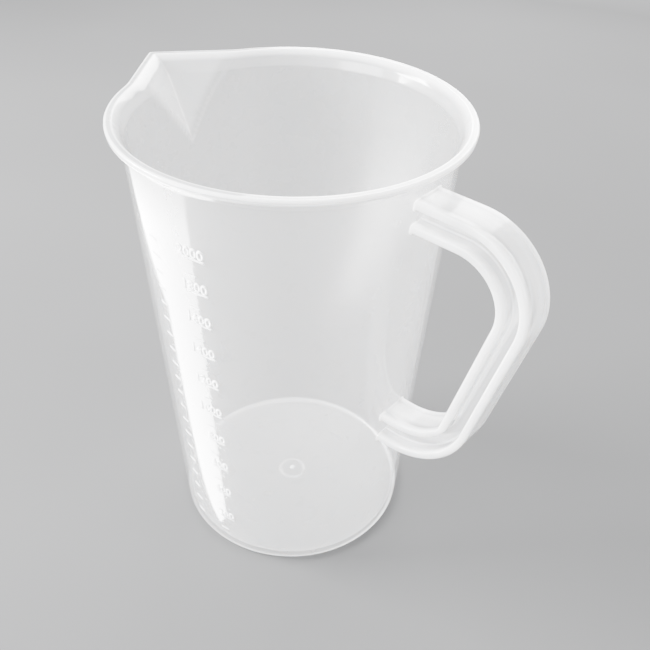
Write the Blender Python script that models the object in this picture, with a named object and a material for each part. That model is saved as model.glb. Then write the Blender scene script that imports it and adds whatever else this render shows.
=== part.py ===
"""Graduated plastic mixing jug: tapered vessel with a pouring spout, I-section handle and a printed scale.

Units are metres, +Z is up. The origin is the centre of the flat underside. +X points to the handle,
-X to the spout, and the scale is on the -Y side.
"""

import math

import bmesh
import bpy
from mathutils import Vector

# Vessel: a tapered wall, a flat floor and a rolled rim
JUG_HEIGHT = 0.213
BASE_RADIUS = 0.0577            # outside of the wall, carried down to the underside
TOP_RADIUS = 0.0679             # outside of the wall, carried up to the rim's top
WALL = 0.0020
FLOOR = 0.0027
HEEL_RADIUS = 0.0037            # rounding between wall and underside
FLOOR_FILLET = 0.0020           # rounding between wall and floor, inside
RIM_PROJECTION = 0.0048         # how far the bead stands out from the wall
BEAD_WIDTH = 0.0034
BEAD_HEIGHT = 0.0026
BEAD_BEVEL = 0.0006
FLARE_HEIGHT = 0.0042           # band under the bead where the wall turns outward

# Spout: two flat facets that meet in a crease
SPOUT_TIP_RADIUS = 0.0843       # outside of the crease at the top of the wall
SPOUT_DEPTH = 0.0362            # how far down the wall the crease runs
SPOUT_HALF_ANGLE = math.radians(51.5)

# Handle: an I-section between an outer and an inner outline, both in the XZ plane
HANDLE_WIDTH = 0.0160
FLANGE = 0.0036
WEB = 0.0032
FLANGE_EDGE = 0.0008            # bevel along the flanges' long edges
UPPER_LEG_DROP = 0.0113         # from the rim's top to the upper leg's top face
UPPER_LEG_DEPTH = 0.0134
GRIP_HEIGHT = 0.1400            # where the grip's reach and depth are measured
GRIP_REACH = 0.0471             # from the wall to the grip's outer face
GRIP_DEPTH = 0.0124
GRIP_LEAN = math.radians(13.5)
LOWER_OUTER_HEIGHT = 0.0760     # the lower leg's outer face, at the wall
LOWER_INNER_HEIGHT = 0.0929     # the lower leg's inner face, at the wall
INNER_CORNER_RISE = 0.0112      # from there up to the sharp corner under the grip
UPPER_OUTER_BEND = 0.0315
UPPER_INNER_BEND = 0.0193
LOWER_OUTER_BEND = 0.0407
LOWER_INNER_BEND = 0.0320

# Printed scale: lines with equal volumes between them, in two columns, every second one longer on the
# right. On a jug of this size each line stands for 100 ml.
MARK_COUNT = 20
MARKS_PER_MAJOR = 2
TOP_MARK_DROP = 0.0340          # from the rim's top to the highest line
SCALE_AZIMUTH = math.radians(-90.0)
MARK_LINE = 0.0009
MARK_THICKNESS = 0.0004
COLUMN_START = math.radians(6.5)        # from the scale's centre to the inner ends of the lines
MAJOR_SWEEP = math.radians(8.5)
MINOR_SWEEP = math.radians(4.5)
LEFT_SWEEP = math.radians(4.5)

# How finely things are cut up
GAP = 0.0003                    # between pieces that meet
WALL_SEGMENTS = 72
FILLET_SEGMENTS = 3
SPOUT_RINGS = 6
BEND_SEGMENTS = 9
SHARP_ANGLE = math.radians(32.0)
MERGE_DISTANCE = 0.000001
HALVINGS = 40                   # when a height is searched for


def clear_scene():
    for obj in list(bpy.data.objects):
        bpy.data.objects.remove(obj, do_unlink=True)


def make_material(name, colour, roughness, transmission=0.0):
    material = bpy.data.materials.new(name)
    material.use_nodes = True
    shader = material.node_tree.nodes["Principled BSDF"]
    shader.inputs["Base Color"].default_value = (*colour, 1.0)
    shader.inputs["Roughness"].default_value = roughness
    shader.inputs["Metallic"].default_value = 0.0
    shader.inputs["Transmission Weight"].default_value = transmission
    return material


def add_object(name, bm, material=None):
    bmesh.ops.remove_doubles(bm, verts=bm.verts, dist=MERGE_DISTANCE)
    bmesh.ops.recalc_face_normals(bm, faces=bm.faces)
    mesh = bpy.data.meshes.new(name)
    bm.to_mesh(mesh)
    bm.free()
    if material:
        mesh.materials.append(material)
    mesh.shade_smooth()
    mesh.set_sharp_from_angle(angle=SHARP_ANGLE)
    obj = bpy.data.objects.new(name, mesh)
    bpy.context.scene.collection.objects.link(obj)
    return obj


def wall_radius(z):
    """Outside radius of the tapered wall at height z."""
    return BASE_RADIUS + (TOP_RADIUS - BASE_RADIUS) * z / JUG_HEIGHT


def polar(radius, azimuth, z):
    return Vector((radius * math.cos(azimuth), radius * math.sin(azimuth), z))


def arc_points(centre, radius, start, end, segments):
    """Points on an arc in the profile's plane, both ends included."""
    angles = [start + (end - start) * i / segments for i in range(segments + 1)]
    return [(centre[0] + radius * math.cos(a), centre[1] + radius * math.sin(a)) for a in angles]


# Vessel

def spout_heights():
    """Ring heights from the lower end of the crease up to the flare."""
    low = JUG_HEIGHT - SPOUT_DEPTH
    high = JUG_HEIGHT - BEAD_HEIGHT - FLARE_HEIGHT
    return [low + (high - low) * i / SPOUT_RINGS for i in range(SPOUT_RINGS + 1)]


def vessel_profile():
    """The wall's section as (offset from the wall's outside, height), from underside to floor.

    The first and the last point are the edges of the underside and of the floor.
    """
    def wall_offset(radius, z):
        return (radius - wall_radius(z), z)

    heel_centre = (wall_radius(HEEL_RADIUS) - HEEL_RADIUS, HEEL_RADIUS)
    heel = arc_points(heel_centre, HEEL_RADIUS, -math.pi / 2, 0.0, FILLET_SEGMENTS)
    outside = [(0.0, z) for z in spout_heights()]

    bead_in = RIM_PROJECTION - BEAD_WIDTH
    bead_low = JUG_HEIGHT - BEAD_HEIGHT
    rim = [
        (bead_in, bead_low),
        (RIM_PROJECTION - BEAD_BEVEL, bead_low),
        (RIM_PROJECTION, bead_low + BEAD_BEVEL),
        (RIM_PROJECTION, JUG_HEIGHT - BEAD_BEVEL),
        (RIM_PROJECTION - BEAD_BEVEL, JUG_HEIGHT),
        (bead_in + BEAD_BEVEL, JUG_HEIGHT),
        (bead_in, JUG_HEIGHT - BEAD_BEVEL),
        (bead_in - WALL, bead_low - BEAD_BEVEL),
    ]
    inside = [(-WALL, z) for z in reversed(spout_heights())]

    fillet_z = FLOOR + FLOOR_FILLET
    fillet_centre = (wall_radius(fillet_z) - WALL - FLOOR_FILLET, fillet_z)
    fillet = arc_points(fillet_centre, FLOOR_FILLET, 0.0, -math.pi / 2, FILLET_SEGMENTS)
    return ([wall_offset(*p) for p in heel] + outside + rim + inside + [wall_offset(*p) for p in fillet])


def spout_radius(offset, z, azimuth):
    """Radius of the spout's flat facets at one height and azimuth, moved out by offset."""
    lowest = JUG_HEIGHT - SPOUT_DEPTH
    low_radius = wall_radius(lowest)
    crease = low_radius + (SPOUT_TIP_RADIUS - low_radius) * (z - lowest) / SPOUT_DEPTH
    turn = abs(math.pi - abs(azimuth))
    facing = math.cos(math.pi / 2 - SPOUT_HALF_ANGLE - turn)
    return (crease * math.sin(SPOUT_HALF_ANGLE) + offset) / facing


def vessel_radius(offset, z, azimuth):
    """Radius of the wall, or of the spout where that stands further out."""
    radius = wall_radius(z) + offset
    turn = abs(math.pi - abs(azimuth))
    if z > JUG_HEIGHT - SPOUT_DEPTH and turn < math.pi / 2 - SPOUT_HALF_ANGLE:
        radius = max(radius, spout_radius(offset, z, azimuth))
    return radius


def build_vessel(material):
    bm = bmesh.new()
    profile = vessel_profile()
    verts = [bm.verts.new(polar(wall_radius(z) + offset, 0.0, z)) for offset, z in profile]
    edges = [bm.edges.new(pair) for pair in zip(verts, verts[1:])]
    bmesh.ops.spin(
        bm, geom=verts + edges, cent=(0, 0, 0), axis=(0, 0, 1),
        angle=2 * math.pi, steps=WALL_SEGMENTS, use_duplicate=False,
    )
    bmesh.ops.remove_doubles(bm, verts=bm.verts, dist=MERGE_DISTANCE)
    for vert in bm.verts:
        x, y, z = vert.co
        azimuth = math.atan2(y, x)
        offset = math.hypot(x, y) - wall_radius(z)
        vert.co = polar(vessel_radius(offset, z, azimuth), azimuth, z)
    open_edges = [edge for edge in bm.edges if edge.is_boundary]
    bmesh.ops.holes_fill(bm, edges=open_edges, sides=0)
    return add_object("vessel", bm, material)


# Handle

def grip_x(z, depth):
    """Where the leaning grip's face lies at height z, moved inward by depth."""
    outer = wall_radius(GRIP_HEIGHT) + GRIP_REACH
    return outer + (z - GRIP_HEIGHT) * math.tan(GRIP_LEAN) - depth / math.cos(GRIP_LEAN)


def upper_bend(radius, top, depth):
    """Arc from the upper leg, at height top, round into the grip."""
    tangent = radius * math.tan((math.pi / 2 + GRIP_LEAN) / 2)
    centre = (grip_x(top, depth) - tangent, top - radius)
    return arc_points(centre, radius, math.pi / 2, -GRIP_LEAN, BEND_SEGMENTS)


def lower_outer_bend():
    """Arc from the grip's outer face to the lower leg's level end at the wall."""
    radius = LOWER_OUTER_BEND
    tangent = radius * math.tan((math.pi / 2 - GRIP_LEAN) / 2)
    centre = (grip_x(LOWER_OUTER_HEIGHT, 0.0) - tangent, LOWER_OUTER_HEIGHT + radius)
    return arc_points(centre, radius, -GRIP_LEAN, -math.pi / 2, BEND_SEGMENTS)


def lower_inner_bend():
    """Arc from the sharp inner corner to the lower leg's level end at the wall."""
    radius = LOWER_INNER_BEND
    corner_x = grip_x(LOWER_INNER_HEIGHT + INNER_CORNER_RISE, GRIP_DEPTH)
    drop = radius - INNER_CORNER_RISE
    run = math.sqrt(radius * radius - drop * drop)
    centre = (corner_x - run, LOWER_INNER_HEIGHT + radius)
    return arc_points(centre, radius, -math.atan2(drop, run), -math.pi / 2, BEND_SEGMENTS)


def handle_outlines():
    """Outer and inner outline as matching (x, z) points, from inside the wall and back into it."""
    top = JUG_HEIGHT - UPPER_LEG_DROP
    under = top - UPPER_LEG_DEPTH
    outer = upper_bend(UPPER_OUTER_BEND, top, 0.0) + lower_outer_bend()
    inner = upper_bend(UPPER_INNER_BEND, under, GRIP_DEPTH) + lower_inner_bend()
    buried = min(BASE_RADIUS - HANDLE_WIDTH, outer[-1][0] - WALL, inner[-1][0] - WALL)
    outer = [(buried, top)] + outer + [(buried, LOWER_OUTER_HEIGHT)]
    inner = [(buried, under)] + inner + [(buried, LOWER_INNER_HEIGHT)]
    return outer, inner


def half_section(depth):
    """One side of the I-section as (from the web's middle, from the inner face), inner face first."""
    half_width = HANDLE_WIDTH / 2
    return [
        (half_width - FLANGE_EDGE, 0.0),
        (half_width, FLANGE_EDGE),
        (half_width, FLANGE - FLANGE_EDGE),
        (half_width - FLANGE_EDGE, FLANGE),
        (WEB / 2, FLANGE),
        (WEB / 2, depth - FLANGE),
        (half_width - FLANGE_EDGE, depth - FLANGE),
        (half_width, depth - FLANGE + FLANGE_EDGE),
        (half_width, depth - FLANGE_EDGE),
        (half_width - FLANGE_EDGE, depth),
    ]


def wall_cutter():
    """Everything inside the wall and its gap, which the handle's ends stop against."""
    bm = bmesh.new()
    for z in (-HANDLE_WIDTH, JUG_HEIGHT + HANDLE_WIDTH):
        ring = [
            bm.verts.new(polar(wall_radius(z) + GAP, 2 * math.pi * i / WALL_SEGMENTS, z))
            for i in range(WALL_SEGMENTS)
        ]
        bm.faces.new(ring)
    bmesh.ops.bridge_loops(bm, edges=list(bm.edges))
    cutter = add_object("wall_cutter", bm)
    cutter.hide_render = True
    cutter.display_type = "WIRE"
    return cutter


def skin_rings(bm, rings):
    """Close a row of matching rings into one solid."""
    for ring, following in zip(rings, rings[1:]):
        for k in range(len(ring)):
            nxt = (k + 1) % len(ring)
            bm.faces.new((ring[k], ring[nxt], following[nxt], following[k]))
    bm.faces.new(rings[0])
    bm.faces.new(rings[-1])


def build_handle(material):
    bm = bmesh.new()
    rings = []
    for (outer_x, outer_z), (inner_x, inner_z) in zip(*handle_outlines()):
        inner = Vector((inner_x, 0.0, inner_z))
        across_depth = Vector((outer_x, 0.0, outer_z)) - inner
        side = half_section(across_depth.length)
        section = side + [(-y, out) for y, out in reversed(side)]
        outward = across_depth.normalized()
        rings.append([bm.verts.new(inner + outward * out + Vector((0.0, y, 0.0))) for y, out in section])
    skin_rings(bm, rings)
    handle = add_object("handle", bm, material)

    cut = handle.modifiers.new("stop_at_wall", "BOOLEAN")
    cut.operation = "DIFFERENCE"
    cut.solver = "EXACT"
    cut.object = wall_cutter()
    return handle


# Scale

def volume_below(z):
    """What the vessel holds up to height z, as a cone frustum over the floor."""
    low = wall_radius(FLOOR) - WALL
    high = wall_radius(z) - WALL
    return math.pi * (z - FLOOR) * (low * low + low * high + high * high) / 3


def height_for(volume):
    """Height up to which the vessel holds a volume, found by halving the span it lies in."""
    low, high = FLOOR, JUG_HEIGHT
    for _ in range(HALVINGS):
        middle = (low + high) / 2
        if volume_below(middle) < volume:
            low = middle
        else:
            high = middle
    return low


def add_mark(bm, z, start, sweep):
    """One printed line round the wall, as a thin solid that stands GAP off it."""
    steps = max(1, round(abs(sweep) * WALL_SEGMENTS / (2 * math.pi)))
    rings = []
    for i in range(steps + 1):
        azimuth = start + sweep * i / steps
        ring = []
        for out, up in ((0, -0.5), (1, -0.5), (1, 0.5), (0, 0.5)):
            height = z + up * MARK_LINE
            radius = wall_radius(height) + GAP + out * MARK_THICKNESS
            ring.append(bm.verts.new(polar(radius, azimuth, height)))
        rings.append(ring)
    skin_rings(bm, rings)


def mark_heights():
    """Heights of the printed lines from the lowest up, with equal volumes between them."""
    full = volume_below(JUG_HEIGHT - TOP_MARK_DROP)
    return [height_for(full * number / MARK_COUNT) for number in range(1, MARK_COUNT + 1)]


def build_mark(side, number, z, start, sweep, material):
    """Each printed line is its own piece, named after its side and its number from the lowest up."""
    bm = bmesh.new()
    add_mark(bm, z, SCALE_AZIMUTH + start, sweep)
    return add_object(f"mark_{side}_{number:02d}", bm, material)


def build_scale(material):
    for number, z in enumerate(mark_heights(), start=1):
        long_mark = number % MARKS_PER_MAJOR == 0
        sweep = MAJOR_SWEEP if long_mark else MINOR_SWEEP
        build_mark("right", number, z, COLUMN_START, sweep, material)
        build_mark("left", number, z, -COLUMN_START, -LEFT_SWEEP, material)


def build_jug():
    clear_scene()
    build_vessel(make_material("natural_polypropylene", (0.90, 0.90, 0.91), 0.32, 0.55))
    build_handle(make_material("thick_polypropylene", (0.93, 0.93, 0.94), 0.35, 0.25))
    build_scale(make_material("white_print", (0.96, 0.96, 0.97), 0.45))


build_jug()
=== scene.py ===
"""Looks of the graduated mixing jug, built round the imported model.

Units are metres, +Z is up and the origin is the centre of the flat underside. +X points to the handle,
-X to the spout, and the scale is on the -Y side.
"""

import math

import bmesh
import bpy
from mathutils import Matrix, Vector


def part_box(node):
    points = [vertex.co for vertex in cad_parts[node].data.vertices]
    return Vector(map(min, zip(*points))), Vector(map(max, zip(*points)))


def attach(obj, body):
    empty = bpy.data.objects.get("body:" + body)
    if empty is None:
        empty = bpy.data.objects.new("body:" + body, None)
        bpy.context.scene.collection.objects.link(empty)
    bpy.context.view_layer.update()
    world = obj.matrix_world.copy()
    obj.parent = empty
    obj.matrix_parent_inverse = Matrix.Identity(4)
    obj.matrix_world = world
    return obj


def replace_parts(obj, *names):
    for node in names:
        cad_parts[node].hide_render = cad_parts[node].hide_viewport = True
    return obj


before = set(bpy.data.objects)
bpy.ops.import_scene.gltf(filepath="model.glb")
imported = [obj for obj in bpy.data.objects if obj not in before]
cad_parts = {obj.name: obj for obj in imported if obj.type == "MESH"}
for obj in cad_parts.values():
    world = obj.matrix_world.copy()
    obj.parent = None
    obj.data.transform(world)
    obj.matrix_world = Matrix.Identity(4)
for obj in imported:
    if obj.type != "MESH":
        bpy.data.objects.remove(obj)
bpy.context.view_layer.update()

# Vessel: overall sizes come from the frame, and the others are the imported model's own values, apart from
# the roundings, which are finer here
VESSEL_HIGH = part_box("vessel")[1]
JUG_HEIGHT = VESSEL_HIGH.z
RIM_PROJECTION = 0.0048
TOP_RADIUS = VESSEL_HIGH.y - RIM_PROJECTION
BASE_RADIUS = 0.0577
WALL = 0.0020
FLOOR = 0.0027
HEEL_RADIUS = 0.0037
FLOOR_FILLET = 0.0020
BEAD_WIDTH = 0.0034
BEAD_HEIGHT = 0.0026
BEAD_ROUNDING = 0.0008
BEAD_INNER_ROUNDING = 0.0006
LIP_TURN = math.radians(147.6)  # where the bead's inner rounding runs into the flare
FLARE_HEIGHT = 0.0042
BEAD_IN = RIM_PROJECTION - BEAD_WIDTH
BEAD_LOW = JUG_HEIGHT - BEAD_HEIGHT

# Spout: two facets that meet in a crease
SPOUT_TIP_RADIUS = 0.0843
SPOUT_DEPTH = 0.0362
SPOUT_LOW = JUG_HEIGHT - SPOUT_DEPTH
SPOUT_HALF_ANGLE = math.radians(51.5)
FACET_BLEND = 0.0008            # rounding where the facets run out of the wall
# A facet's cloudiness is a painted glow, standing for light shining through it; the facets are no thicker
# than the wall
FACET_FADE = 0.0025             # how far a facet stands out where it is at its cloudiest
CREASE_TURN = math.radians(0.35)    # rounding of the crease itself

# Floor: a shallow dome with the moulding's gate mark in the middle
DOME_RISE = 0.0006
GATE_RADIUS = 0.0065
GATE_RING_WIDTH = 0.0008
GATE_PIP_RADIUS = 0.0013
GATE_PIP_HEIGHT = 0.0009
GATE_GROOVE = 0.0005

# Handle: an I-section between an outer and an inner outline, both in the XZ plane
HANDLE_WIDTH = 0.0160
FLANGE = 0.0036
WEB = 0.0032
FLANGE_ROUNDING = 0.0009
WEB_FILLET = 0.0010
ROOT_FILLET = 0.0008            # where the handle grows out of the wall
ROOT_SUNK = 0.0002              # how deep its ends go into the wall
UPPER_LEG_DROP = 0.0113
UPPER_LEG_DEPTH = 0.0134
GRIP_HEIGHT = 0.1400
GRIP_REACH = 0.0471
GRIP_DEPTH = 0.0124
GRIP_LEAN = math.radians(13.5)
LOWER_OUTER_HEIGHT = 0.0760
LOWER_INNER_HEIGHT = 0.0929
INNER_CORNER_RISE = 0.0112
UPPER_OUTER_BEND = 0.0315
UPPER_INNER_BEND = 0.0193
LOWER_OUTER_BEND = 0.0407
LOWER_INNER_BEND = 0.0320

# Printed scale: heights come from the frame's marks
MARK_COUNT = 20
MARKS_PER_MAJOR = 2
MILLILITRES_PER_MARK = 100
SCALE_AZIMUTH = math.radians(-90.0)
COLUMN_START = math.radians(6.5)
MAJOR_SWEEP = math.radians(8.5)
MINOR_SWEEP = math.radians(4.5)
LEFT_SWEEP = math.radians(4.5)
MARK_LINE = 0.0009
FILM_CLEARANCE = 0.00004        # between the wall and the print's underside
FILM_THICKNESS = 0.00008
NUMBER_SIZE = 0.0062
NUMBER_RISE = 0.0007            # from a line's middle to the foot of its number
NUMBER_WEIGHT = 0.00027         # how far the strokes are thickened

# Plastic: each pair of colours is the duller and the paler one that its clouds go between
PLASTIC_IOR = 1.49
VESSEL_COLOURS = ((0.89, 0.90, 0.92, 1.0), (0.95, 0.95, 0.96, 1.0))
HANDLE_COLOURS = ((0.91, 0.92, 0.94, 1.0), (0.97, 0.97, 0.97, 1.0))
VESSEL_SCATTER = 0.004          # how far light spreads inside
HANDLE_SCATTER = 0.006
SCATTER_TINT = (1.0, 0.95, 0.9)
BODY_ROUGHNESS = (0.25, 0.35)
GLOSS_ROUGHNESS = (0.05, 0.10)
VESSEL_TEXTURE = 0.00002        # height of the moulded texture
HANDLE_TEXTURE = 0.00003
INK_COLOURS = ((0.88, 0.88, 0.89, 1.0), (0.97, 0.97, 0.97, 1.0))
INK_ROUGHNESS = (0.32, 0.48)

# Grain of what varies over the plastic and the print, in patches per metre
CLOUD_GRAIN = 38.0
GLOSS_GRAIN = 90.0
BODY_GRAIN = 120.0
TEXTURE_GRAIN = 900.0
INK_ROUGHNESS_GRAIN = 600.0
INK_COVER_GRAIN = 1500.0
TEXTURE_STRENGTH = 0.25
NOISE_RANGE = (0.3, 0.7)        # nearly all of a noise's values lie in it

# The vessel's inside, below the flare, is duller than its outside
DULL = "dull"
DULLNESS = 0.20                 # roughness that it adds to the gloss

# How cloudy each face of the plastic looks, from 0 clear to 1 solid
VESSEL_THIN = 0.12
VESSEL_THICK = 0.95
HANDLE_THIN = 0.20
HANDLE_THICK = 0.92

# How much plastic light meets along the vessel's section, from 0 in the wall to 1, with painted light added
# on the rounded edges and the spout's facets
BULK_AND_PAINTED_LIGHT = "bulk_and_painted_light"
# Rounded edges: partly the thicker plastic seen along them, partly a painted highlight that makes them solid
# white
EDGE_BULK_AND_HIGHLIGHT = 1.0
BULK_BEAD = 0.22
BULK_FLARE = 0.12
BULK_HEEL = 0.75
BULK_FILLET = 0.30
BULK_PIP = 1.0
BULK_GATE_RING = 0.40
BULK_FOLD = 0.42                # along the spout's crease, inside
FACET_FOLD = 0.4                # the same where the facets run out of the wall, as a share of that
# Painted glow: the facets are no thicker than the wall, and their cloudiness stands for light shining through
# them
FACET_PAINTED_GLOW = 0.22
FOLD_TURN = math.radians(0.6)   # half-width of the crease's cloudy line

# The same along the handle's section
BULK_FLANGE = 0.0
BULK_JUNCTION = 0.50            # where the web meets a flange
BULK_WEB = 0.10

# How finely things are cut up
COLUMNS = 288
CREASE_COLUMNS = (0.12, 0.27, 0.45, 0.7)    # extra columns each side of the crease, in degrees
WALL_RINGS = 14
SPOUT_RINGS = 40
FLARE_RINGS = 6
ARC_RINGS = 8
FLOOR_RINGS = 12
GATE_RINGS = 36
BEND_SEGMENTS = 30
GRIP_SEGMENTS = 6
SECTION_ARC = 6
MARK_STEP = math.radians(0.5)

# Camera, from the jug's own axis
VIEW_AZIMUTH = math.radians(-46.3)
VIEW_DISTANCE = 0.2901
VIEW_HEIGHT = 0.3353
VIEW_HEADING = math.radians(130.66)
VIEW_PITCH = math.radians(38.39)
VIEW_ROLL = math.radians(2.05)
VIEW_LENS = 42.8
SENSOR = 36.0

# Soft lights, which all face the jug's middle: place, width, height and power
SOFTBOXES = {
    "key_softbox": ((-0.92, -0.69, 0.68), 0.6, 0.42, 160.0),
    "front_softbox": ((-0.15, -1.00, 0.60), 0.6, 0.6, 36.0),
    "back_softbox": ((-0.38, 0.90, 0.72), 0.9, 0.6, 60.0),
    "right_softbox": ((0.90, 0.30, 0.50), 0.5, 0.7, 26.0),
}
SKY_COLOUR = (0.92, 0.95, 1.0, 1.0)
SKY_STRENGTH = 0.75

# Floor: paler where the lights don't reach
FLOOR_SIZE = 6.0
FLOOR_DROP = 0.0002             # below the jug's underside
FLOOR_MOTTLE = 0.01             # share of the far colour that comes and goes in the near one
FLOOR_GRAIN = 3.0               # patches of it per metre
FLOOR_ROUGHNESS = 0.9
FLOOR_NEAR = (0.090, 0.090, 0.091, 1.0)
FLOOR_FAR = (0.85, 0.85, 0.86, 1.0)
FLOOR_PALING = (1.0, 3.0)       # from and to what distance it turns paler

# Glow card, a wedge that widens away from the jug's foot, and more so past its bend
CARD_START = (0.000, -0.0678)
CARD_HEIGHT = 0.0006
CARD_NEAR_WIDTH = 0.006
CARD_RIGHT = math.radians(-123.0)
CARD_LEFT = math.radians(-164.0)
CARD_FAR_LEFT = math.radians(-190.0)
CARD_BEND = 0.19
CARD_LENGTH = 0.45
CARD_GLOW = 75.0
CARD_FADE = (0.32, 0.50)        # how far from the jug's axis its light starts and ends fading


# Meshes

def new_object(name, bm):
    """A smooth-shaded object made from a bmesh, which is used up."""
    bmesh.ops.recalc_face_normals(bm, faces=bm.faces)
    mesh = bpy.data.meshes.new(name)
    bm.to_mesh(mesh)
    bm.free()
    mesh.shade_smooth()
    obj = bpy.data.objects.new(name, mesh)
    bpy.context.scene.collection.objects.link(obj)
    return obj


def finish_piece(obj, material):
    """Gives a piece its material, and lets it move with the jug's one body."""
    obj.data.materials.append(material)
    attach(obj, "root")
    return obj


def wall_radius(z):
    """Outside radius of the tapered wall at height z."""
    return BASE_RADIUS + (TOP_RADIUS - BASE_RADIUS) * z / JUG_HEIGHT


def polar(radius, azimuth, z):
    """A point at a radius and an azimuth from the jug's axis."""
    return Vector((radius * math.cos(azimuth), radius * math.sin(azimuth), z))


def arc_points(centre, radius, start, end, segments):
    """Points on an arc in a flat outline, both ends included."""
    angles = [start + (end - start) * i / segments for i in range(segments + 1)]
    return [(centre[0] + radius * math.cos(a), centre[1] + radius * math.sin(a)) for a in angles]


def ease(share):
    """Smooth step from 0 to 1."""
    return share * share * (3 - 2 * share)


def even_steps(low, high, count):
    """Values that divide low to high into count equal steps, both ends included."""
    return [low + (high - low) * i / count for i in range(count + 1)]


# Vessel

def wall_heights():
    """Ring heights from the heel to the flare, closer together beside the spout."""
    return even_steps(HEEL_RADIUS, SPOUT_LOW, WALL_RINGS)[1:-1] + even_steps(
        SPOUT_LOW, BEAD_LOW - FLARE_HEIGHT, SPOUT_RINGS)


def with_bulk_and_light(points, bulk_and_painted_light):
    """Section points as (offset, height, bulk and painted light): how much plastic light meets there, raised
    in places as painted light.
    """
    return [(offset, z, bulk_and_painted_light) for offset, z in points]


def peaked(points, bulk_and_painted_light):
    """Section points of a bend, whose bulk rises to a ridge halfway round."""
    last = len(points) - 1
    return [(offset, z, bulk_and_painted_light * math.sin(math.pi * i / last) ** 4) for i, (offset, z) in enumerate(points)]


def flare(base_offset):
    """The wall's turn outward under the bead."""
    shares = even_steps(0.0, 1.0, FLARE_RINGS)[1:]
    return [
        (base_offset + BEAD_IN * share, BEAD_LOW - FLARE_HEIGHT * (1 - share), BULK_FLARE)
        for share in shares
    ]


def bead():
    """The rolled rim's section, from the flare's outside over the top to its inside."""
    outer = RIM_PROJECTION - BEAD_ROUNDING
    inner = BEAD_IN + BEAD_INNER_ROUNDING
    under = arc_points((outer, BEAD_LOW + BEAD_ROUNDING), BEAD_ROUNDING, -math.pi / 2, 0.0, ARC_RINGS)
    over = arc_points((outer, JUG_HEIGHT - BEAD_ROUNDING), BEAD_ROUNDING, 0.0, math.pi / 2, ARC_RINGS)
    lip = arc_points(
        (inner, JUG_HEIGHT - BEAD_INNER_ROUNDING), BEAD_INNER_ROUNDING, math.pi / 2, LIP_TURN, ARC_RINGS)
    side = [(RIM_PROJECTION, JUG_HEIGHT - BEAD_HEIGHT / 2)]
    top = even_steps(outer, inner, 4)[1:-1]
    # The rounded edges get full cloudiness: partly for the thicker plastic seen along them, partly as a
    # painted highlight
    return (
        with_bulk_and_light(under, EDGE_BULK_AND_HIGHLIGHT) + with_bulk_and_light(side, BULK_BEAD) + with_bulk_and_light(over, EDGE_BULK_AND_HIGHLIGHT)
        + with_bulk_and_light([(offset, JUG_HEIGHT) for offset in top], BULK_BEAD) + with_bulk_and_light(lip, EDGE_BULK_AND_HIGHLIGHT)
    )


def pip_share(radius):
    """1 on the pip left by the gate, falling to 0 round it."""
    return math.exp(-((radius / GATE_PIP_RADIUS) ** 4))


def gate_ring_share(radius):
    """1 along the ring round the gate, falling to 0 on both sides."""
    return math.exp(-(((radius - GATE_RADIUS) / GATE_RING_WIDTH) ** 2))


def floor_height(radius, edge):
    """Height of the inner floor: a shallow dome with the gate mark in the middle."""
    dome = DOME_RISE * (1 - (radius / edge) ** 2)
    return FLOOR + dome - GATE_GROOVE * gate_ring_share(radius) + GATE_PIP_HEIGHT * pip_share(radius)


def floor_radii(edge):
    """Ring radii from the floor's edge inward, close together at the gate mark."""
    near = 1.5 * GATE_RADIUS
    wide = even_steps(edge, near, FLOOR_RINGS)[1:]
    return wide + even_steps(near, 0.0, GATE_RINGS)[1:-1]


def vessel_profile():
    """The section as (offset from the wall's outside, height, bulk and painted light), from underside to
    floor.
    """
    def from_wall(points):
        return [(radius - wall_radius(z), z) for radius, z in points]

    heel_centre = (wall_radius(HEEL_RADIUS) - HEEL_RADIUS, HEEL_RADIUS)
    heel = arc_points(heel_centre, HEEL_RADIUS, -math.pi / 2, 0.0, ARC_RINGS)
    underside = [(r, 0.0) for r in even_steps(0.0, heel[0][0], FLOOR_RINGS)[1:-1]]
    outside = with_bulk_and_light([(0.0, z) for z in wall_heights()], 0.0)

    fillet_z = FLOOR + FLOOR_FILLET
    floor_edge = wall_radius(fillet_z) - WALL - FLOOR_FILLET
    fillet = arc_points((floor_edge, fillet_z), FLOOR_FILLET, 0.0, -math.pi / 2, ARC_RINGS)
    inside = with_bulk_and_light([(-WALL, z) for z in reversed(wall_heights()) if z > fillet_z], 0.0)
    floor = []
    for radius in floor_radii(floor_edge):
        point = from_wall([(radius, floor_height(radius, floor_edge))])
        floor += with_bulk_and_light(point, BULK_PIP * pip_share(radius) + BULK_GATE_RING * gate_ring_share(radius))
    return (
        with_bulk_and_light(from_wall(underside), 0.0) + peaked(from_wall(heel), BULK_HEEL) + outside
        + flare(0.0) + bead() + list(reversed(flare(-WALL))) + inside
        + peaked(from_wall(fillet), BULK_FILLET) + floor
    )


def columns():
    """Azimuths of the lathe's columns, with extra ones beside the spout's crease."""
    even = [2 * math.pi * i / COLUMNS for i in range(COLUMNS)]
    extra = [math.pi + side * math.radians(turn) for turn in CREASE_COLUMNS for side in (-1, 1)]
    return sorted(even + extra)


def facet_radius(offset, z, azimuth):
    """Radius of the spout's facets, or 0 where there are none."""
    turn = abs(math.pi - azimuth % (2 * math.pi))
    if z <= SPOUT_LOW or turn >= math.pi / 2 - SPOUT_HALF_ANGLE:
        return 0.0
    low_radius = wall_radius(SPOUT_LOW)
    crease = low_radius + (SPOUT_TIP_RADIUS - low_radius) * (z - SPOUT_LOW) / SPOUT_DEPTH
    facing = math.cos(math.pi / 2 - SPOUT_HALF_ANGLE - math.hypot(turn, CREASE_TURN))
    return (crease * math.sin(SPOUT_HALF_ANGLE) + offset) / facing


def nearness(a, b):
    """1 where two radii are equal, falling to 0 where they are FACET_BLEND apart."""
    return max(FACET_BLEND - abs(a - b), 0.0) / FACET_BLEND


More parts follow.
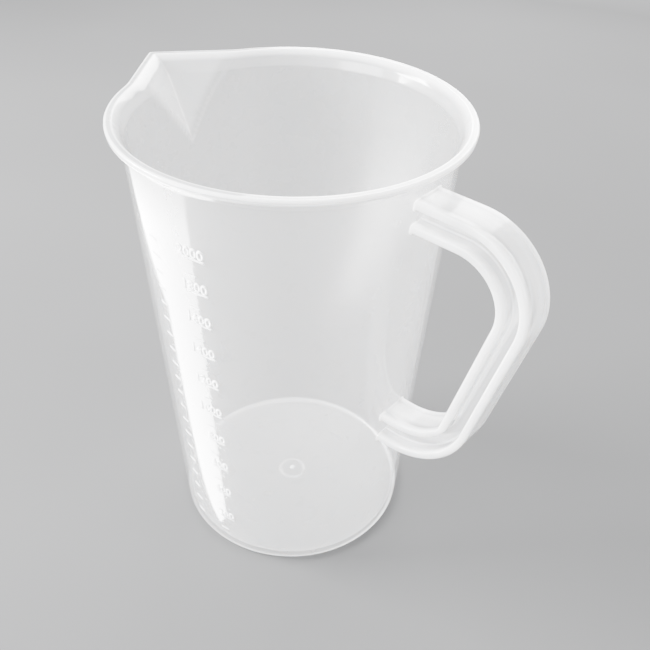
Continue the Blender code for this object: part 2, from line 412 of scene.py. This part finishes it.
def vessel_radius(offset, z, azimuth):
    """Radius of the wall, or of the spout's facets where they stand further out."""
    wall = wall_radius(z) + offset
    facet = facet_radius(offset, z, azimuth)
    return max(wall, facet) + nearness(wall, facet) ** 2 * FACET_BLEND / 4


def spout_bulk_and_light(offset, z, azimuth):
    """Bulk and painted light on the spout: a little painted glow on its facets, which are no thicker than the
    wall, and more bulk along their folds, inside only.
    """
    wall = wall_radius(z) + offset
    facet = facet_radius(offset, z, azimuth)
    turn = abs(math.pi - azimuth % (2 * math.pi))
    on_facet = ease(min(max(facet - wall, 0.0) / FACET_FADE, 1.0))
    if offset >= 0:
        return FACET_PAINTED_GLOW * on_facet
    on_crease = math.exp(-((turn / FOLD_TURN) ** 2)) * on_facet
    return max(FACET_PAINTED_GLOW * on_facet, BULK_FOLD * max(on_crease, nearness(wall, facet) * FACET_FOLD))


def add_faces(bm, ring, following):
    """Quads between two closed rings with as many points each."""
    for k in range(len(ring)):
        nxt = (k + 1) % len(ring)
        bm.faces.new((ring[k], ring[nxt], following[nxt], following[k]))


def build_vessel(material):
    bm = bmesh.new()
    bulk_and_light_layer = bm.verts.layers.float.new(BULK_AND_PAINTED_LIGHT)
    dull_layer = bm.verts.layers.float.new(DULL)
    turns = columns()
    rings = []
    for offset, z, bulk_and_painted_light in vessel_profile():
        ring = [bm.verts.new(polar(vessel_radius(offset, z, a), a, z)) for a in turns]
        inside = offset <= -WALL / 2 and FLOOR / 2 < z < BEAD_LOW - FLARE_HEIGHT
        for vert, azimuth in zip(ring, turns):
            vert[dull_layer] = 1.0 if inside else 0.0
            vert[bulk_and_light_layer] = max(bulk_and_painted_light, spout_bulk_and_light(offset, z, azimuth))
        rings.append(ring)
    for ring, following in zip(rings, rings[1:]):
        add_faces(bm, ring, following)
    for ring in (rings[0], rings[-1]):
        centre = bm.verts.new(Vector((0.0, 0.0, ring[0].co.z)))
        centre[bulk_and_light_layer] = ring[0][bulk_and_light_layer]
        centre[dull_layer] = ring[0][dull_layer]
        for k in range(len(turns)):
            bm.faces.new((ring[k], ring[(k + 1) % len(turns)], centre))
    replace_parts(finish_piece(new_object("jug_body", bm), material), "vessel")


# Handle

def grip_x(z, depth):
    """Where the leaning grip's face lies at height z, moved inward by depth."""
    outer = wall_radius(GRIP_HEIGHT) + GRIP_REACH
    return outer + (z - GRIP_HEIGHT) * math.tan(GRIP_LEAN) - depth / math.cos(GRIP_LEAN)


def upper_bend(radius, top, depth):
    """Arc from the upper leg, at height top, round into the grip."""
    tangent = radius * math.tan((math.pi / 2 + GRIP_LEAN) / 2)
    centre = (grip_x(top, depth) - tangent, top - radius)
    return arc_points(centre, radius, math.pi / 2, -GRIP_LEAN, BEND_SEGMENTS)


def lower_outer_bend():
    """Arc from the grip's outer face to the lower leg's level end."""
    radius = LOWER_OUTER_BEND
    tangent = radius * math.tan((math.pi / 2 - GRIP_LEAN) / 2)
    centre = (grip_x(LOWER_OUTER_HEIGHT, 0.0) - tangent, LOWER_OUTER_HEIGHT + radius)
    return arc_points(centre, radius, -GRIP_LEAN, -math.pi / 2, BEND_SEGMENTS)


def lower_inner_bend():
    """Arc from the sharp inner corner to the lower leg's level end."""
    radius = LOWER_INNER_BEND
    corner_x = grip_x(LOWER_INNER_HEIGHT + INNER_CORNER_RISE, GRIP_DEPTH)
    drop = radius - INNER_CORNER_RISE
    run = math.sqrt(radius * radius - drop * drop)
    centre = (corner_x - run, LOWER_INNER_HEIGHT + radius)
    return arc_points(centre, radius, -math.atan2(drop, run), -math.pi / 2, BEND_SEGMENTS)


def between(start, end, count):
    """Points strictly between two points of an outline."""
    return [
        (start[0] + (end[0] - start[0]) * i / count, start[1] + (end[1] - start[1]) * i / count)
        for i in range(1, count)
    ]


def handle_outlines():
    """Outer and inner outline as matching (x, z) points, from the upper leg's root to the lower's."""
    top = JUG_HEIGHT - UPPER_LEG_DROP
    under = top - UPPER_LEG_DEPTH
    outlines = []
    for upper, lower in (
        (upper_bend(UPPER_OUTER_BEND, top, 0.0), lower_outer_bend()),
        (upper_bend(UPPER_INNER_BEND, under, GRIP_DEPTH), lower_inner_bend()),
    ):
        outlines.append(upper + between(upper[-1], lower[0], GRIP_SEGMENTS) + lower)
    return outlines


def half_section(depth):
    """One side of the I-section as (from the web's middle, from the inner face, bulk and painted light),
    inner face first.
    """
    half = HANDLE_WIDTH / 2
    r = FLANGE_ROUNDING
    f = WEB_FILLET
    web = WEB / 2
    between_web_and_edge = (web + half) / 2
    edge = arc_points((half - r, r), r, -math.pi / 2, 0.0, SECTION_ARC) + arc_points(
        (half - r, FLANGE - r), r, 0.0, math.pi / 2, SECTION_ARC)
    corner = arc_points((web + f, FLANGE + f), f, -math.pi / 2, -math.pi, SECTION_ARC)
    # The flange's rounded edges get full cloudiness: partly for the thicker plastic seen along them, partly
    # as a painted highlight
    flange = (
        with_bulk_and_light([(web, 0.0)], BULK_JUNCTION) + with_bulk_and_light([(between_web_and_edge, 0.0)], BULK_FLANGE)
        + with_bulk_and_light(edge, EDGE_BULK_AND_HIGHLIGHT) + with_bulk_and_light([(between_web_and_edge, FLANGE)], BULK_FLANGE)
        + peaked(corner, BULK_JUNCTION)
    )
    mirrored = [(y, depth - out, bulk_and_painted_light) for y, out, bulk_and_painted_light in reversed(flange)]
    return flange + with_bulk_and_light([(web, depth / 2)], BULK_WEB) + mirrored


def outward_normals(section):
    """Unit normals of a closed flat outline that runs anticlockwise."""
    normals = []
    for k in range(len(section)):
        before, after = section[k - 1], section[(k + 1) % len(section)]
        along = Vector((after[0] - before[0], after[1] - before[1])).normalized()
        normals.append(Vector((along.y, -along.x)))
    return normals


def section_ring(bm, outer, inner, growth=0.0):
    """One ring of the handle between two matching outline points, fattened by growth."""
    bulk_and_light_layer = bm.verts.layers.float[BULK_AND_PAINTED_LIGHT]
    base = Vector((inner[0], 0.0, inner[1]))
    across = Vector((outer[0], 0.0, outer[1])) - base
    side = half_section(across.length)
    section = side + [(-y, out, bulk_and_painted_light) for y, out, bulk_and_painted_light in reversed(side)]
    outward = across.normalized()
    ring = []
    for (y, out, bulk_and_painted_light), normal in zip(section, outward_normals(section)):
        y += normal.x * growth
        out += normal.y * growth
        vert = bm.verts.new(base + outward * out + Vector((0.0, y, 0.0)))
        vert[bulk_and_light_layer] = bulk_and_painted_light
        ring.append(vert)
    return ring


def root_rings(bm, outer, inner):
    """Rings of a level leg's end that grow, in a fillet, out of the wall."""
    rings = []
    for i in range(SECTION_ARC + 1):
        angle = math.pi / 2 * i / SECTION_ARC
        growth = ROOT_FILLET * (1 - math.sin(angle))
        standing = ROOT_FILLET * (1 - math.cos(angle))
        ring = section_ring(bm, outer, inner, growth)
        for vert in ring:
            wall = math.sqrt(wall_radius(vert.co.z) ** 2 - vert.co.y ** 2)
            vert.co.x = wall + standing - (ROOT_SUNK if i == 0 else 0.0)
        rings.append(ring)
    return rings


def build_handle(material):
    bm = bmesh.new()
    bm.verts.layers.float.new(BULK_AND_PAINTED_LIGHT)
    outer, inner = handle_outlines()
    upper_root = root_rings(bm, outer[0], inner[0])
    run = [section_ring(bm, o, i) for o, i in zip(outer[:-1], inner[:-1])]
    lower_root = root_rings(bm, outer[-1], inner[-1])
    rings = upper_root + run + list(reversed(lower_root))
    for ring, following in zip(rings, rings[1:]):
        add_faces(bm, ring, following)
    bm.faces.new(rings[0])
    bm.faces.new(rings[-1])
    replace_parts(finish_piece(new_object("jug_handle", bm), material), "handle")


# Scale

def mark_height(side, number):
    """Height of a line's middle, from the frame."""
    low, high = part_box(f"mark_{side}_{number:02d}")
    return (low.z + high.z) / 2


def film_point(azimuth, z, out):
    """A point of the print: out is 0 at its underside and 1 at its face."""
    return polar(wall_radius(z) + FILM_CLEARANCE + FILM_THICKNESS * out, azimuth, z)


def add_line(bm, z, start, sweep):
    """One printed line at height z, bent round the wall."""
    corners = ((0, -0.5), (1, -0.5), (1, 0.5), (0, 0.5))
    steps = math.ceil(abs(sweep) / MARK_STEP)
    rings = []
    for i in range(steps + 1):
        azimuth = SCALE_AZIMUTH + start + sweep * i / steps
        rings.append([bm.verts.new(film_point(azimuth, z + up * MARK_LINE, out)) for out, up in corners])
    for ring, following in zip(rings, rings[1:]):
        add_faces(bm, ring, following)
    bm.faces.new(rings[0])
    bm.faces.new(rings[-1])


def build_lines(side, sweeps, material):
    """One column of printed lines; sweeps gives the start and length of a minor and of a major line."""
    bm = bmesh.new()
    names = []
    for number in range(1, MARK_COUNT + 1):
        start, sweep = sweeps[number % MARKS_PER_MAJOR == 0]
        add_line(bm, mark_height(side, number), start, sweep)
        names.append(f"mark_{side}_{number:02d}")
    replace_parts(finish_piece(new_object(f"scale_lines_{side}", bm), material), *names)


def number_mesh(text):
    """A flat number with its right-hand foot at the origin, one film thick."""
    curve = bpy.data.curves.new("number", "FONT")
    curve.body = text
    curve.size = NUMBER_SIZE
    curve.align_x = "RIGHT"
    curve.offset = NUMBER_WEIGHT
    curve.extrude = FILM_THICKNESS / 2
    holder = bpy.data.objects.new("number", curve)
    bpy.context.scene.collection.objects.link(holder)
    bpy.context.view_layer.update()
    mesh = bpy.data.meshes.new_from_object(holder.evaluated_get(bpy.context.evaluated_depsgraph_get()))
    bpy.data.objects.remove(holder)
    bpy.data.curves.remove(curve)
    return mesh


def build_numbers(material):
    """The numbers, each standing on its major line and ending where the line ends."""
    bm = bmesh.new()
    right_end = SCALE_AZIMUTH + COLUMN_START + MAJOR_SWEEP
    for number in range(MARKS_PER_MAJOR, MARK_COUNT + 1, MARKS_PER_MAJOR):
        foot = mark_height("right", number) + NUMBER_RISE
        radius = wall_radius(foot)
        mesh = number_mesh(str(number * MILLILITRES_PER_MARK))
        for vert in mesh.vertices:
            x, y, z = vert.co
            vert.co = film_point(right_end + x / radius, foot + y, 0.5 + z / FILM_THICKNESS)
        bm.from_mesh(mesh)
        bpy.data.meshes.remove(mesh)
    bmesh.ops.remove_doubles(bm, verts=bm.verts, dist=0.000001)
    finish_piece(new_object("scale_numbers", bm), material)


# Materials

def spread(tree, value, low, high, at_low, at_high):
    """A value mapped in proportion: at_low where it is low or less, at_high where it is high or more."""
    node = tree.nodes.new("ShaderNodeMapRange")
    node.inputs["From Min"].default_value = low
    node.inputs["From Max"].default_value = high
    node.inputs["To Min"].default_value = at_low
    node.inputs["To Max"].default_value = at_high
    tree.links.new(value, node.inputs["Value"])
    return node.outputs["Result"]


def noise(tree, scale, detail, low, high, coordinates):
    """A noise whose value is spread from low to high."""
    node = tree.nodes.new("ShaderNodeTexNoise")
    node.inputs["Scale"].default_value = scale
    node.inputs["Detail"].default_value = detail
    tree.links.new(coordinates, node.inputs["Vector"])
    return spread(tree, node.outputs["Fac"], *NOISE_RANGE, low, high)


def math_node(tree, operation, *values):
    """The result of a Math node on numbers and sockets."""
    node = tree.nodes.new("ShaderNodeMath")
    node.operation = operation
    for socket, value in zip(node.inputs, values):
        if isinstance(value, (int, float)):
            socket.default_value = value
        else:
            tree.links.new(value, socket)
    return node.outputs["Value"]


def solidity(tree, thin, thick):
    """How cloudy the plastic looks: thin where little of it meets the light, thick where most does and where
    light is painted on the rounded edges and the spout's facets.
    """
    bulk_and_painted_light = tree.nodes.new("ShaderNodeAttribute")
    bulk_and_painted_light.attribute_name = BULK_AND_PAINTED_LIGHT
    return math_node(tree, "MULTIPLY_ADD", bulk_and_painted_light.outputs["Fac"], thick - thin, thin)


def mix_colours(tree, share, colours):
    """A colour between two, by a share from 0 to 1."""
    node = tree.nodes.new("ShaderNodeMix")
    node.data_type = "RGBA"
    node.inputs["A"].default_value = colours[0]
    node.inputs["B"].default_value = colours[1]
    tree.links.new(share, node.inputs["Factor"])
    return node.outputs["Result"]


def new_material(name):
    """A material with its node tree and its Principled shader."""
    material = bpy.data.materials.new(name)
    material.use_nodes = True
    return material, material.node_tree, material.node_tree.nodes["Principled BSDF"]


def object_coordinates(tree):
    return tree.nodes.new("ShaderNodeTexCoord").outputs["Object"]


def moulded_plastic(name, colours, thin, thick, scatter, texture):
    """Natural polypropylene: cloudy colour, softly uneven gloss and a faint moulded texture."""
    material, tree, shader = new_material(name)
    shader.inputs["IOR"].default_value = PLASTIC_IOR
    shader.inputs["Subsurface Weight"].default_value = 1.0
    shader.inputs["Subsurface Radius"].default_value = SCATTER_TINT
    shader.inputs["Subsurface Scale"].default_value = scatter

    place = object_coordinates(tree)
    clouds = noise(tree, CLOUD_GRAIN, 3.0, 0.0, 1.0, place)
    tree.links.new(mix_colours(tree, clouds, colours), shader.inputs["Base Color"])
    tree.links.new(solidity(tree, thin, thick), shader.inputs["Alpha"])
    tree.links.new(noise(tree, BODY_GRAIN, 4.0, *BODY_ROUGHNESS, place), shader.inputs["Roughness"])

    relief = tree.nodes.new("ShaderNodeBump")
    relief.inputs["Strength"].default_value = TEXTURE_STRENGTH
    relief.inputs["Distance"].default_value = texture
    tree.links.new(noise(tree, TEXTURE_GRAIN, 2.0, 0.0, 1.0, place), relief.inputs["Height"])
    tree.links.new(relief.outputs["Normal"], shader.inputs["Normal"])
    add_gloss(tree, shader, relief.outputs["Normal"], place)
    return material


def add_gloss(tree, body, normal, place):
    """A clear surface gloss over the plastic, as strong on its clear walls as on its cloudy edges."""
    gloss = tree.nodes.new("ShaderNodeBsdfGlossy")
    dull = tree.nodes.new("ShaderNodeAttribute")
    dull.attribute_name = DULL
    unevenness = noise(tree, GLOSS_GRAIN, 3.0, *GLOSS_ROUGHNESS, place)
    roughness = math_node(tree, "MULTIPLY_ADD", dull.outputs["Fac"], DULLNESS, unevenness)
    tree.links.new(roughness, gloss.inputs["Roughness"])
    tree.links.new(normal, gloss.inputs["Normal"])
    fresnel = tree.nodes.new("ShaderNodeFresnel")
    fresnel.inputs["IOR"].default_value = PLASTIC_IOR
    from_inside = tree.nodes.new("ShaderNodeNewGeometry").outputs["Backfacing"]
    share = math_node(tree, "MULTIPLY", fresnel.outputs["Fac"], math_node(tree, "SUBTRACT", 1.0, from_inside))
    layers = tree.nodes.new("ShaderNodeMixShader")
    tree.links.new(share, layers.inputs["Fac"])
    tree.links.new(body.outputs["BSDF"], layers.inputs[1])
    tree.links.new(gloss.outputs["BSDF"], layers.inputs[2])
    tree.links.new(layers.outputs["Shader"], tree.nodes["Material Output"].inputs["Surface"])


def ink(name):
    """Opaque white print, a little greyer in places."""
    material, tree, shader = new_material(name)
    place = object_coordinates(tree)
    cover = noise(tree, INK_COVER_GRAIN, 3.0, 0.0, 1.0, place)
    tree.links.new(mix_colours(tree, cover, INK_COLOURS), shader.inputs["Base Color"])
    tree.links.new(noise(tree, INK_ROUGHNESS_GRAIN, 2.0, *INK_ROUGHNESS, place), shader.inputs["Roughness"])
    return material


# Stage, light and camera

def distance_from_axis(tree):
    """Distance from the jug's foot, for a material on the ground."""
    distance = tree.nodes.new("ShaderNodeVectorMath")
    distance.operation = "LENGTH"
    tree.links.new(object_coordinates(tree), distance.inputs["Vector"])
    return distance.outputs["Value"]


def build_floor():
    bm = bmesh.new()
    half = FLOOR_SIZE / 2
    corners = [(-half, -half), (half, -half), (half, half), (-half, half)]
    bm.faces.new([bm.verts.new((x, y, -FLOOR_DROP)) for x, y in corners])
    floor = new_object("floor", bm)
    material, tree, shader = new_material("floor_paper")
    mottle = noise(tree, FLOOR_GRAIN, 2.0, 0.0, FLOOR_MOTTLE, object_coordinates(tree))
    far = spread(tree, distance_from_axis(tree), *FLOOR_PALING, 0.0, 1.0)
    colour = mix_colours(tree, math_node(tree, "ADD", far, mottle), (FLOOR_NEAR, FLOOR_FAR))
    tree.links.new(colour, shader.inputs["Base Color"])
    shader.inputs["Roughness"].default_value = FLOOR_ROUGHNESS
    shader.inputs["Specular IOR Level"].default_value = 0.0
    floor.data.materials.append(material)


def add_light(name, place, target, width, height, power):
    light = bpy.data.lights.new(name, "AREA")
    light.shape = "RECTANGLE"
    light.size = width
    light.size_y = height
    light.energy = power
    lamp = bpy.data.objects.new(name, light)
    bpy.context.scene.collection.objects.link(lamp)
    aim = Vector(target) - Vector(place)
    lamp.matrix_world = Matrix.Translation(place) @ aim.to_track_quat("-Z", "Y").to_matrix().to_4x4()


def add_glow_card():
    """A low card of light beside the scale, which only reflections see."""
    bm = bmesh.new()
    start = Vector((*CARD_START, CARD_HEIGHT))
    right_end = start + polar(CARD_LENGTH, CARD_RIGHT, 0.0)
    left_bend = start + polar(CARD_BEND, CARD_LEFT, 0.0)
    left_end = start + polar(CARD_LENGTH, CARD_FAR_LEFT, 0.0)
    near = (left_end - right_end).normalized() * CARD_NEAR_WIDTH / 2
    corners = [start - near, start + near, left_bend, left_end, right_end]
    bm.faces.new([bm.verts.new(corner) for corner in corners])
    card = new_object("glow_card", bm)
    material, tree, shader = new_material("glow")
    shader.inputs["Base Color"].default_value = (0.0, 0.0, 0.0, 1.0)
    shader.inputs["Emission Color"].default_value = (1.0, 1.0, 1.0, 1.0)
    left = spread(tree, distance_from_axis(tree), *CARD_FADE, 1.0, 0.0)
    glow = math_node(tree, "MULTIPLY", math_node(tree, "POWER", left, 2.0), CARD_GLOW)
    tree.links.new(glow, shader.inputs["Emission Strength"])
    card.data.materials.append(material)
    card.visible_camera = False
    card.visible_diffuse = False
    card.visible_transmission = False
    card.visible_shadow = False


def build_light():
    middle = (0.0, 0.0, JUG_HEIGHT / 2)
    for name, (place, width, height, power) in SOFTBOXES.items():
        add_light(name, place, middle, width, height, power)
    add_glow_card()
    world = bpy.data.worlds.new("studio")
    bpy.context.scene.world = world
    world.use_nodes = True
    background = world.node_tree.nodes["Background"]
    background.inputs["Color"].default_value = SKY_COLOUR
    background.inputs["Strength"].default_value = SKY_STRENGTH


def build_camera():
    camera = bpy.data.cameras.new("camera")
    camera.sensor_width = SENSOR
    camera.lens = VIEW_LENS
    camera.clip_start = 0.01
    camera.dof.use_dof = False
    obj = bpy.data.objects.new("camera", camera)
    bpy.context.scene.collection.objects.link(obj)

    level = math.cos(VIEW_PITCH)
    forward = Vector((
        math.cos(VIEW_HEADING) * level, math.sin(VIEW_HEADING) * level, -math.sin(VIEW_PITCH)))
    right = Vector((math.sin(VIEW_HEADING), -math.cos(VIEW_HEADING), 0.0))
    turn = Matrix.Rotation(-VIEW_ROLL, 3, forward)
    right = turn @ right
    up = right.cross(forward)
    axes = Matrix((right, up, -forward)).transposed()
    obj.matrix_world = Matrix.Translation(polar(VIEW_DISTANCE, VIEW_AZIMUTH, VIEW_HEIGHT)) @ axes.to_4x4()
    bpy.context.scene.camera = obj


def build_jug():
    thin_plastic = moulded_plastic(
        "natural_polypropylene", VESSEL_COLOURS, VESSEL_THIN, VESSEL_THICK, VESSEL_SCATTER, VESSEL_TEXTURE)
    thick_plastic = moulded_plastic(
        "thick_polypropylene", HANDLE_COLOURS, HANDLE_THIN, HANDLE_THICK, HANDLE_SCATTER, HANDLE_TEXTURE)
    print_ink = ink("white_print")
    build_vessel(thin_plastic)
    build_handle(thick_plastic)
    build_lines("right", ((COLUMN_START, MINOR_SWEEP), (COLUMN_START, MAJOR_SWEEP)), print_ink)
    build_lines("left", ((-COLUMN_START, -LEFT_SWEEP), (-COLUMN_START, -LEFT_SWEEP)), print_ink)
    build_numbers(print_ink)


build_jug()
build_floor()
build_light()
build_camera()
